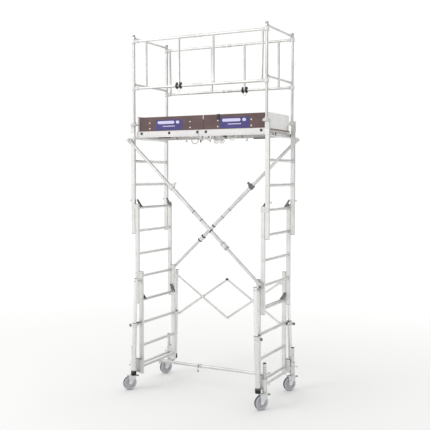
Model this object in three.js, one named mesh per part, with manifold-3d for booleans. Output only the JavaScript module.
// Mobile tower scaffold: two telescoping ladder ends carry a folding deck with
// guard rails and toe boards. Millimetres, +Z up, X along the deck, Y across it.
// The tower is the same seen from the front and from the back, apart from its
// casters and its hatch, so one end is made and the other is that end turned half round.
import * as THREE from "three";
import { mergeVertices } from "three/addons/utils/BufferGeometryUtils.js";
import Module from "manifold-3d";

const wasm = await Module();
wasm.setup();

// ---------------------------------------------------------------- driving dimensions
const rungPitch = 250; // spacing of the rungs in every ladder section
const topRungHeight = 2732; // the rung that carries the deck
const halfDepth = 341; // middle of a stile from the tower's centre plane, across
const baseX = 695; // middle of the base ladder's stiles, along the tower
const sectionStep = 46; // each higher ladder section stands this much further out
const stileWidth = 42; // a stile's size along the tower
const stileDepth = 28; // and across it
const tubeWall = 3;
const rungRadius = 16;
const gap = 0.4; // between parts that touch
const weld = 2; // how deep one welded part runs into another
const past = 10; // how far a cutter runs past what it cuts
const stileFace = halfDepth + stileDepth / 2;

const earThickness = 5; // ears that hold the ends of the braces
const earHeight = 48;
const earReach = 20; // past the brace's pivot
const earPad = 12;
const pinRadius = 6;
const socket = { bottom: 178, top: 306, radius: 24, bore: 19 }; // holds an adjustable leg
const bracket = { fromLeg: 20, pastStile: 12, near: 350, far: 374, bottom: 190, top: 335 };

const upperSection = { x: baseX + 2 * sectionStep, bottom: 1700, top: 2860, firstRung: 0, rungs: 3 };
const midSection = { x: baseX + sectionStep, bottom: 945, top: 2020, firstRung: 3, rungs: 4 };
const baseSection = { x: baseX, bottom: 180, top: 1290, firstRung: 7, rungs: 3 };

const deckHeight = 2800; // the surface that people stand on
const deckHalfLength = 758;
const deckHalfWidth = 320;
const deckBeamHeight = 65;
const deckBeamWidth = 20;
const boardThickness = 12;
const hatch = { inner: 190, outer: 690, halfWidth: 235, clearance: 3 };
const clawPlace = { inner: 170, outer: 230 }; // the deck's hooks, each side of the centre plane
const toeBoardHeight = 150;
const endToeBoardHeight = 160;
const toeBoardThickness = 12;
const endToeBoard = { outer: 756, inner: 744, halfWidth: 302 };
const frontToeBoard = { from: -715, to: 57 };
const backToeBoard = { from: -747, to: -59 };
const boardOuter = -endToeBoard.inner + gap; // the deck board's edges, just inside the toe boards
const boardSide = deckHalfWidth - toeBoardThickness - gap;

const postX = 774.5; // guard posts
const postTop = 3830;
const postRadius = 14;
const sideRailHeights = [3260, 3760];
const endRailHeights = [3306, 3796];
const railRadius = 14;
const endRailRadius = 12;
const balusterRadius = 12;
const guardWall = 2;

const braceLayer = 380; // middle of a brace from the centre plane, outside the stiles
const braceTop = new THREE.Vector3(-815, -braceLayer, 2706);
const braceFoot = new THREE.Vector3(741, -braceLayer, 1230);
const braceSleeveStart = 722; // measured down the brace from its top pivot
const braceSleeveEnd = 1583;
const braceTubeRadius = 17;
const braceSleeveRadius = 21;
const braceWall = 2.5;
const braceOverlap = 100; // length of the upper tube inside the sleeve
const bracePastTop = 20; // how far the tubes run past their pivots
const bracePastFoot = 20;

const stabiliserLayer = 440;
const stabiliserPivot = { x: -700, z: 1195 };
const stabiliserFoot = { x: -735, z: 172 };
const stabiliserClampHeight = 735;

const armRadius = 19; // the thin upper tube, which slides in the leg
const stabiliserLegRadius = 24;
const stabiliserWall = 2.5;
const stabiliserEngaged = 80; // length of arm that stays in the leg when it is drawn out

const legX = 780; // adjustable legs, one outside each corner
const legY = 380;
const legRadius = 17;
const legBottom = 168;
const legTop = 460;
const wheelRadius = 75;
const wheelWidth = 34;
const casterTrail = 40; // wheel axle behind the swivel axis
const axleRadius = 6;
const casterTurn = THREE.MathUtils.degToRad(235); // the way the casters happen to point

const scissorPlane = 341;
const scissorCentre = 10;
const scissorReach = 630;
const scissorHeights = [730, 1165];

// ---------------------------------------------------------------- finishes
function finish(colour, roughness, metalness) {
  return new THREE.MeshStandardMaterial({ color: colour, roughness, metalness });
}

const finishes = {
  aluminium: () => finish(0xd9dbdc, 0.38, 0.9),
  frameWhite: () => finish(0xe9e8e6, 0.45, 0.6),
  plywood: () => finish(0x5f4444, 0.5, 0),
  endBoard: () => finish(0xe2e4e0, 0.5, 0.2),
  zinc: () => finish(0xb9bcc0, 0.4, 0.9),
  rubber: () => finish(0x8f9096, 0.75, 0),
  blackPlastic: () => finish(0x1c1c1e, 0.6, 0),
  chrome: () => finish(0xcfd1d2, 0.2, 1),
};

// ---------------------------------------------------------------- solids
function solid(geometry) {
  geometry.deleteAttribute("normal");
  geometry.deleteAttribute("uv");
  const merged = mergeVertices(geometry, 1e-4);
  const mesh = new wasm.Mesh({
    numProp: 3,
    vertProperties: new Float32Array(merged.attributes.position.array),
    triVerts: new Uint32Array(merged.index.array),
  });
  return new wasm.Manifold(mesh);
}

function geometryOf(shape) {
  const mesh = shape.getMesh();
  const geometry = new THREE.BufferGeometry();
  geometry.setAttribute("position", new THREE.BufferAttribute(mesh.vertProperties, 3));
  geometry.setIndex(new THREE.BufferAttribute(mesh.triVerts, 1));
  geometry.computeVertexNormals();
  return geometry;
}

function join(shapes) {
  return shapes.reduce((whole, shape) => whole.add(shape));
}

// A block between two values on each axis, in either order.
function block([x0, x1], [y0, y1], [z0, z1]) {
  const geometry = new THREE.BoxGeometry(Math.abs(x1 - x0), Math.abs(y1 - y0), Math.abs(z1 - z0));
  geometry.translate((x0 + x1) / 2, (y0 + y1) / 2, (z0 + z1) / 2);
  return solid(geometry);
}

// A round bar between two points.
function bar(from, to, radius, sides = 12) {
  const start = new THREE.Vector3(...from);
  const end = new THREE.Vector3(...to);
  const along = end.clone().sub(start);
  const geometry = new THREE.CylinderGeometry(radius, radius, along.length(), sides);
  const turn = new THREE.Quaternion().setFromUnitVectors(new THREE.Vector3(0, 1, 0), along.normalize());
  geometry.applyQuaternion(turn);
  const middle = start.add(end).multiplyScalar(0.5);
  geometry.translate(middle.x, middle.y, middle.z);
  return solid(geometry);
}

// A round bar that runs across the tower, the same length each side of its centre plane.
function crossBar(x, z, halfLength, radius, sides) {
  return bar([x, -halfLength, z], [x, halfLength, z], radius, sides);
}

// A plate cut to an outline in X and Z, standing between two values of Y.
function plate(outline, y0, y1) {
  const shape = new THREE.Shape(outline.map(([x, z]) => new THREE.Vector2(x, z)));
  const geometry = new THREE.ExtrudeGeometry(shape, { depth: Math.abs(y1 - y0), bevelEnabled: false });
  geometry.rotateX(Math.PI / 2);
  geometry.translate(0, Math.max(y0, y1), 0);
  return solid(geometry);
}

function addPart(group, name, shape, material) {
  const mesh = new THREE.Mesh(geometryOf(shape), material);
  mesh.name = name;
  group.add(mesh);
  return mesh;
}

// ---------------------------------------------------------------- ladder ends
function rungHeights(section) {
  const heights = [];
  for (let n = section.firstRung; n < section.firstRung + section.rungs; n += 1) {
    heights.push(topRungHeight - n * rungPitch);
  }
  return heights;
}

// The outside and the hollow of two stiles and the rungs between them. Each rung's
// hollow runs into the stiles' hollows, which are open at both ends.
function ladderShell(section) {
  const outside = [];
  const hollow = [];
  const x = -section.x;
  for (const side of [-1, 1]) {
    const y = side * halfDepth;
    const halfX = stileWidth / 2;
    const halfY = stileDepth / 2;
    outside.push(block([x - halfX, x + halfX], [y - halfY, y + halfY], [section.bottom, section.top]));
    hollow.push(
      block(
        [x - halfX + tubeWall, x + halfX - tubeWall],
        [y - halfY + tubeWall, y + halfY - tubeWall],
        [section.bottom - 1, section.top + 1],
      ),
    );
  }
  for (const z of rungHeights(section)) {
    outside.push(crossBar(x, z, halfDepth, rungRadius));
    hollow.push(crossBar(x, z, halfDepth, rungRadius - tubeWall));
  }
  return { outside, hollow };
}

function midLadder() {
  const { outside, hollow } = ladderShell(midSection);
  return join(outside).subtract(join(hollow));
}

// The upper section carries an ear for the top of the brace on its front stile.
function upperLadder() {
  const { outside, hollow } = ladderShell(upperSection);
  const earX = [braceTop.x - earReach, -upperSection.x];
  const earZ = [braceTop.z - earHeight / 2, braceTop.z + earHeight / 2];
  outside.push(block(earX, [-stileFace + earThickness, -stileFace - earThickness], earZ));
  return join(outside).subtract(join(hollow));
}

// The base section has the cross tubes, the corner brackets and the sockets of
// the adjustable legs welded to it, and the pins of the stabilisers.
function baseLadder() {
  const { outside, hollow } = ladderShell(baseSection);
  const crossTubeHeight = 250;
  const crossTubeRadius = 15;
  for (const [x, reach] of [
    [-baseX, halfDepth],
    [-legX, legY],
  ]) {
    outside.push(crossBar(x, crossTubeHeight, reach, crossTubeRadius));
    hollow.push(crossBar(x, crossTubeHeight, reach, crossTubeRadius - tubeWall));
  }
  for (const side of [-1, 1]) {
    const y = side * legY;
    outside.push(bar([-legX, y, socket.bottom], [-legX, y, socket.top], socket.radius));
    hollow.push(bar([-legX, y, socket.bottom - past], [-legX, y, socket.top + past], socket.bore));
    outside.push(
      block(
        [-legX + bracket.fromLeg, -baseX + bracket.pastStile],
        [side * bracket.near, side * bracket.far],
        [bracket.bottom, bracket.top],
      ),
    );
    outside.push(
      bar(
        [stabiliserPivot.x, side * (stileFace - weld), stabiliserPivot.z],
        [stabiliserPivot.x, side * (stabiliserLayer - armRadius - gap), stabiliserPivot.z],
        pinRadius,
        10,
      ),
    );
  }
  const earEnd = -braceFoot.x - earReach;
  const earZ = [braceFoot.z - earHeight / 2, braceFoot.z + earHeight / 2];
  const earFace = stileFace + earThickness;
  outside.push(block([-baseX - earPad, -baseX + earPad], [stileFace - weld, earFace], earZ));
  outside.push(block([earEnd, -baseX], [stileFace + 1, earFace], earZ));
  return join(outside).subtract(join(hollow));
}

// Two hooks on one rod, just above a section's top rung. They lean out to the next section.
function rungLatch(section) {
  const armWidth = 12;
  const armPlace = 302;
  const rodRadius = 5;
  const rodReach = armPlace + 4;
  const pivotX = -section.x + 28; // just inside the stiles
  const pivotZ = rungHeights(section)[0] + 8;
  const outline = [
    [10, -8],
    [12, 6],
    [-44, 84],
    [-50, 80],
    [-50, 64],
    [-8, 10],
    [-7, -6],
  ].map(([x, z]) => [pivotX + x, pivotZ + z]);
  const arms = [-1, 1].map((side) => plate(outline, side * armPlace, side * (armPlace + armWidth)));
  return join([...arms, crossBar(pivotX, pivotZ, rodReach, rodRadius, 10)]);
}

// ---------------------------------------------------------------- guards
// Two posts and the two rails between them at one end. The hollow opens at the posts' feet.
function endGuard() {
  const outside = [];
  const hollow = [];
  const foot = upperSection.top + gap;
  for (const side of [-1, 1]) {
    const y = side * halfDepth;
    outside.push(bar([-postX, y, foot], [-postX, y, postTop], postRadius));
    hollow.push(bar([-postX, y, foot - past], [-postX, y, postTop - 3 * guardWall], postRadius - guardWall));
  }
  for (const z of endRailHeights) {
    outside.push(crossBar(-postX, z, halfDepth, endRailRadius));
    hollow.push(crossBar(-postX, z, halfDepth, endRailRadius - guardWall));
  }
  return join(outside).subtract(join(hollow));
}

// Half of a side guard, from the collars on a post to the fold in the middle.
// balusters holds the places of the upright bars, at the lower and the upper rail.
function sideGuard(side, balusters) {
  const y = side * halfDepth;
  const [low, high] = sideRailHeights;
  const collarRadius = 20.5;
  const collarHeight = 36;
  const fold = -1.5;
  const bore = postRadius + 1.5;
  const outside = [];
  const hollow = [];
  for (const z of sideRailHeights) {
    outside.push(bar([-postX + bore + 0.5, y, z], [fold, y, z], railRadius));
    hollow.push(bar([-postX + bore + past, y, z], [fold + 1, y, z], railRadius - guardWall));
    outside.push(bar([-postX, y, z - collarHeight / 2], [-postX, y, z + collarHeight / 2], collarRadius));
    hollow.push(bar([-postX, y, z - collarHeight], [-postX, y, z + collarHeight], bore));
  }
  for (const [lowX, highX] of balusters) {
    outside.push(bar([lowX, y, low], [highX, y, high], balusterRadius, 10));
    hollow.push(bar([lowX, y, low], [highX, y, high], balusterRadius - guardWall, 10));
  }
  return join(outside).subtract(join(hollow));
}

// ---------------------------------------------------------------- deck
// Half of the deck's frame: a ring of beams, a lip round the board, two trimmers
// that stiffen it and hold the hatch, and claws that hook over the ladder's top rung.
function deckFrame() {
  const outer = -deckHalfLength;
  const inner = -weld;
  const low = deckHeight - deckBeamHeight;
  const boardSeat = deckHeight - boardThickness - gap;
  const middleBeam = [-130, -100];
  const endBeam = 30;
  const foldBeam = 28;
  const holeWidth = deckHalfWidth - deckBeamWidth;
  const trimmer = [hatch.halfWidth - 13, hatch.halfWidth + 11];
  const trimmerFoot = 2750;
  const clawTop = topRungHeight + rungRadius + 14;
  const clawOuter = -upperSection.x - stileWidth / 2 - 4;
  const clawThickness = 13;
  const clawTip = 6;
  const across = [-holeWidth, holeWidth];
  const recess = boardSide + gap;
  const ring = block([outer, inner], [-deckHalfWidth, deckHalfWidth], [low, deckHeight])
    .subtract(block([boardOuter - gap, inner + past], [-recess, recess], [boardSeat, deckHeight + past]))
    .subtract(block([outer + endBeam, middleBeam[0]], across, [low - past, deckHeight]))
    .subtract(block([middleBeam[1], inner - foldBeam + weld], across, [low - past, deckHeight]));
  const trimmers = [-1, 1].map((side) =>
    block(
      [outer + endBeam - weld, middleBeam[0] + weld],
      [side * trimmer[0], side * trimmer[1]],
      [trimmerFoot, boardSeat],
    ),
  );
  const claws = [-1, 1].map((side) => {
    const y = [side * clawPlace.inner, side * clawPlace.outer];
    const tongue = block([clawOuter, outer + weld], y, [clawTop - clawThickness, clawTop]);
    return tongue.add(block([clawOuter, clawOuter + clawTip], y, [topRungHeight - clawTip, clawTop]));
  });
  return join([ring, ...trimmers, ...claws]);
}

// The board lies inside the toe boards, which stand on the frame round it.
function deckBoard(withHatch) {
  const board = block([boardOuter, -4], [-boardSide, boardSide], [deckHeight - boardThickness, deckHeight]);
  if (!withHatch) {
    return board;
  }
  const opening = block(
    [-hatch.outer, -hatch.inner],
    [-hatch.halfWidth, hatch.halfWidth],
    [deckHeight - 2 * boardThickness, deckHeight + boardThickness],
  );
  return board.subtract(opening);
}

function hatchBoard() {
  const edge = hatch.halfWidth - hatch.clearance;
  return block(
    [-hatch.outer + hatch.clearance, -hatch.inner - hatch.clearance],
    [-edge, edge],
    [deckHeight - boardThickness, deckHeight],
  );
}

function sideToeBoard(side, { from, to }) {
  const outerFace = side * deckHalfWidth;
  const innerFace = side * (deckHalfWidth - toeBoardThickness);
  return block([from, to], [innerFace, outerFace], [deckHeight + gap, deckHeight + toeBoardHeight]);
}

function endToeBoardPlate() {
  const { outer, inner, halfWidth } = endToeBoard;
  const top = deckHeight + endToeBoardHeight;
  return block([-outer, -inner], [-halfWidth, halfWidth], [deckHeight + gap, top]);
}

// ---------------------------------------------------------------- braces
function alongBrace(distance) {
  const direction = braceFoot.clone().sub(braceTop).normalize();
  return braceTop.clone().addScaledVector(direction, distance).toArray();
}

// The thin tube that hangs from the upper ladder and slides in the brace's sleeve.
function braceUpper() {
  const end = braceSleeveStart + braceOverlap;
  const bore = braceTubeRadius - braceWall;
  const tube = bar(alongBrace(-bracePastTop), alongBrace(end), braceTubeRadius);
  return tube.subtract(bar(alongBrace(-bracePastTop - past), alongBrace(end + past), bore));
}

// The sleeve and the lower tube fixed in it, down to the base ladder.
function braceLower() {
  const end = braceTop.distanceTo(braceFoot) + bracePastFoot;
  const fixed = 60; // length of the lower tube inside the sleeve
  const boreEnd = braceSleeveEnd - fixed + 2 * past;
  const slidingBore = braceTubeRadius + 1.6;
  const lowerBore = braceTubeRadius - braceWall;
  const sleeve = bar(alongBrace(braceSleeveStart), alongBrace(braceSleeveEnd), braceSleeveRadius);
  const tube = bar(alongBrace(braceSleeveEnd - fixed), alongBrace(end), braceTubeRadius);
  return sleeve
    .subtract(bar(alongBrace(braceSleeveStart - past), alongBrace(boreEnd), slidingBore))
    .add(tube.subtract(bar(alongBrace(braceSleeveStart), alongBrace(boreEnd), slidingBore)))
    .subtract(bar(alongBrace(braceSleeveEnd - fixed - past), alongBrace(end + past), lowerBore));
}

// ---------------------------------------------------------------- stabilisers
// A point on the stabiliser's own line at a height.
function onStabiliser(side, z) {
  const share = (stabiliserPivot.z - z) / (stabiliserPivot.z - stabiliserFoot.z);
  const x = stabiliserPivot.x + share * (stabiliserFoot.x - stabiliserPivot.x);
  return [x, side * stabiliserLayer, z];
}

// A tube along the stabiliser's line, open at both ends.
function stabiliserTube(side, top, bottom, radius) {
  const bore = radius - stabiliserWall;
  const outside = bar(onStabiliser(side, top), onStabiliser(side, bottom), radius);
  return outside.subtract(bar(onStabiliser(side, top + past), onStabiliser(side, bottom - past), bore));
}

function stabiliserArm(side) {
  const top = stabiliserPivot.z + 1.5 * armRadius;
  return stabiliserTube(side, top, stabiliserClampHeight - stabiliserEngaged, armRadius);
}

// The lower tube with its foot. It is wider than the arm and slides over it.
function stabiliserLeg(side) {
  const footRadius = 29;
  const footTop = stabiliserFoot.z + 42;
  const foot = bar(onStabiliser(side, stabiliserFoot.z), onStabiliser(side, footTop), footRadius);
  const bottom = stabiliserFoot.z - past;
  const drain = bar(onStabiliser(side, bottom), onStabiliser(side, footTop + past), pinRadius);
  const tube = stabiliserTube(side, stabiliserClampHeight, footTop - weld, stabiliserLegRadius);
  return tube.add(foot.subtract(drain));
}

// ---------------------------------------------------------------- legs and casters
function cornerLeg(x, y) {
  const tube = bar([x, y, legBottom], [x, y, legTop], legRadius);
  return tube.subtract(bar([x, y, legBottom - 5], [x, y, legTop + 5], legRadius - tubeWall));
}

// The caster pieces are drawn about their swivel axis, with the wheel towards +X.
function casterFork() {
  const top = legBottom - 6;
  const low = wheelRadius * 2 + 4;
  const joinZ = low + 2;
  const frontX = 62;
  const backX = -28;
  const cheek = { inner: 20.5, outer: 25.5 };
  const kneeZ = 134; // where the cheeks start to narrow towards the axle
  const crown = block([backX, frontX], [-26, 26], [low, top]);
  const boss = bar([0, 0, joinZ], [0, 0, legBottom - gap], 22);
  const cheekOutline = [
    [backX + 4, joinZ],
    [backX + 4, kneeZ],
    [casterTrail / 2, wheelRadius - 9],
    [casterTrail, wheelRadius - 16],
    [casterTrail + 15, wheelRadius - 9],
    [frontX - 2, kneeZ],
    [frontX - 2, joinZ],
  ];
  const cheeks = [-1, 1].map((side) => plate(cheekOutline, side * cheek.inner, side * cheek.outer));
  const axle = crossBar(casterTrail, wheelRadius, cheek.outer + 4.5, axleRadius, 10);
  return join([crown, boss, ...cheeks, axle]);
}

function casterWheel() {
  const half = wheelWidth / 2;
  const hubHalf = half + 2;
  const webHalf = 10;
  const bore = axleRadius + 1;
  const hubRadius = 20;
  const rimRadius = 57;
  const shoulder = wheelRadius - 6;
  const side = [
    [bore, hubHalf],
    [hubRadius - 3, hubHalf],
    [hubRadius, webHalf],
    [rimRadius - 7, webHalf - 1],
    [rimRadius, half - 1],
    [shoulder, half],
    [wheelRadius, webHalf],
  ];
  const otherSide = side.map(([radius, y]) => [radius, -y]);
  // The outline runs from one side's bore, over the tread and back to where it began.
  const points = [...otherSide, ...side.reverse()];
  const profile = [...points, points[0]].map(([radius, y]) => new THREE.Vector2(radius, y));
  const geometry = new THREE.LatheGeometry(profile, 24);
  geometry.translate(casterTrail, 0, wheelRadius);
  return solid(geometry);
}

function brakePedal() {
  const halfWidth = 16;
  const outer = -62;
  const pivotX = -16;
  const low = 140;
  const tread = block([outer, pivotX + 4], [-halfWidth, halfWidth], [low, low + 6]);
  const toe = block([outer, outer + 10], [-halfWidth, halfWidth], [low, low + 11]);
  const pivot = crossBar(pivotX, low + 3, halfWidth + 4, 4, 8);
  return join([tread, toe, pivot]);
}

// ---------------------------------------------------------------- base strut and scissor
function baseStrut() {
  const height = 240;
  const radius = 17;
  const reach = baseX - 18; // between the cross tubes of the two base ladders
  const tube = bar([-reach, 0, height], [reach, 0, height], radius);
  return tube.subtract(bar([-reach - past, 0, height], [reach + past, 0, height], radius - tubeWall));
}

// A flat bar with round ends between two pins, in one of two layers.
function scissorBar([x0, z0], [x1, z1], layer) {
  const halfHeight = 12;
  const thickness = 7;
  const length = Math.hypot(x1 - x0, z1 - z0);
  const shape = new THREE.Shape();
  shape.absarc(length / 2, 0, halfHeight, -Math.PI / 2, Math.PI / 2);
  shape.absarc(-length / 2, 0, halfHeight, Math.PI / 2, (3 * Math.PI) / 2);
  const settings = { depth: thickness, bevelEnabled: false, curveSegments: 6 };
  const geometry = new THREE.ExtrudeGeometry(shape, settings);
  geometry.rotateX(Math.PI / 2);
  geometry.rotateY(-Math.atan2(z1 - z0, x1 - x0));
  const y = scissorPlane + layer * (thickness + 1);
  geometry.translate((x0 + x1) / 2, y, (z0 + z1) / 2);
  return solid(geometry);
}

// ---------------------------------------------------------------- assembly
const tower = new THREE.Group();

function addEnd(end, withHatch) {
  // Built as the left end: front is -Y. The right end is this one turned half round,
  // so there front and back change places.
  const turned = end === "right";
  const front = turned ? "back" : "front";
  const back = turned ? "front" : "back";
  const group = new THREE.Group();
  group.rotation.z = turned ? Math.PI : 0;
  tower.add(group);

  addPart(group, `base_ladder_${end}`, baseLadder(), finishes.aluminium());
  addPart(group, `mid_ladder_${end}`, midLadder(), finishes.aluminium());
  addPart(group, `upper_ladder_${end}`, upperLadder(), finishes.aluminium());
  addPart(group, `rung_latch_base_${end}`, rungLatch(baseSection), finishes.blackPlastic());
  addPart(group, `rung_latch_mid_${end}`, rungLatch(midSection), finishes.blackPlastic());
  addPart(group, `end_guard_${end}`, endGuard(), finishes.aluminium());
  const evenBars = [
    [-617, -617],
    [-216, -216],
  ];
  const slantedBars = [
    [-722, -732],
    [-186, -186],
  ];
  addPart(group, `side_guard_${front}_${end}`, sideGuard(-1, evenBars), finishes.aluminium());
  addPart(group, `side_guard_${back}_${end}`, sideGuard(1, slantedBars), finishes.aluminium());
  addPart(group, `deck_frame_${end}`, deckFrame(), finishes.frameWhite());
  addPart(group, `deck_board_${end}`, deckBoard(withHatch), finishes.plywood());
  if (withHatch) {
    addPart(group, "hatch", hatchBoard(), finishes.plywood());
  }
  addPart(group, `toe_board_${front}_${end}`, sideToeBoard(-1, frontToeBoard), finishes.plywood());
  addPart(group, `toe_board_${back}_${end}`, sideToeBoard(1, backToeBoard), finishes.plywood());
  addPart(group, `toe_board_end_${end}`, endToeBoardPlate(), finishes.endBoard());
  addPart(group, `brace_upper_${front}`, braceUpper(), finishes.aluminium());
  addPart(group, `brace_lower_${front}`, braceLower(), finishes.aluminium());
  for (const [side, name] of [
    [-1, front],
    [1, back],
  ]) {
    addPart(group, `stabiliser_arm_${name}_${end}`, stabiliserArm(side), finishes.chrome());
    addPart(group, `stabiliser_leg_${name}_${end}`, stabiliserLeg(side), finishes.chrome());
  }
}

function addCaster(end, face) {
  const x = end === "left" ? -legX : legX;
  const y = face === "front" ? -legY : legY;
  addPart(tower, `leg_${face}_${end}`, cornerLeg(x, y), finishes.aluminium());
  const group = new THREE.Group();
  group.position.set(x, y, 0);
  group.rotation.z = casterTurn;
  tower.add(group);
  addPart(group, `caster_fork_${face}_${end}`, casterFork(), finishes.zinc());
  addPart(group, `caster_wheel_${face}_${end}`, casterWheel(), finishes.rubber());
  addPart(group, `brake_pedal_${face}_${end}`, brakePedal(), finishes.blackPlastic());
}

addEnd("left", false);
addEnd("right", true);
for (const end of ["left", "right"]) {
  for (const face of ["front", "back"]) {
    addCaster(end, face);
  }
}
addPart(tower, "base_strut", baseStrut(), finishes.aluminium());

const [scissorLow, scissorHigh] = scissorHeights;
const scissorLeft = scissorCentre - scissorReach;
const scissorRight = scissorCentre + scissorReach;
const scissorBars = [
  ["scissor_bar_left_falling", [scissorLeft, scissorHigh], [scissorCentre, scissorLow], 0],
  ["scissor_bar_left_rising", [scissorLeft, scissorLow], [scissorCentre, scissorHigh], 1],
  ["scissor_bar_right_falling", [scissorCentre, scissorHigh], [scissorRight, scissorLow], 0],
  ["scissor_bar_right_rising", [scissorCentre, scissorLow], [scissorRight, scissorHigh], 1],
];
for (const [name, from, to, layer] of scissorBars) {
  addPart(tower, name, scissorBar(from, to, layer), finishes.aluminium());
}

// The tower stands with the ground centre of its outline on the origin.
tower.updateMatrixWorld(true);
const outline = new THREE.Box3().setFromObject(tower, true);
const centre = outline.getCenter(new THREE.Vector3());
tower.position.set(-centre.x, -centre.y, -outline.min.z);

export default tower;
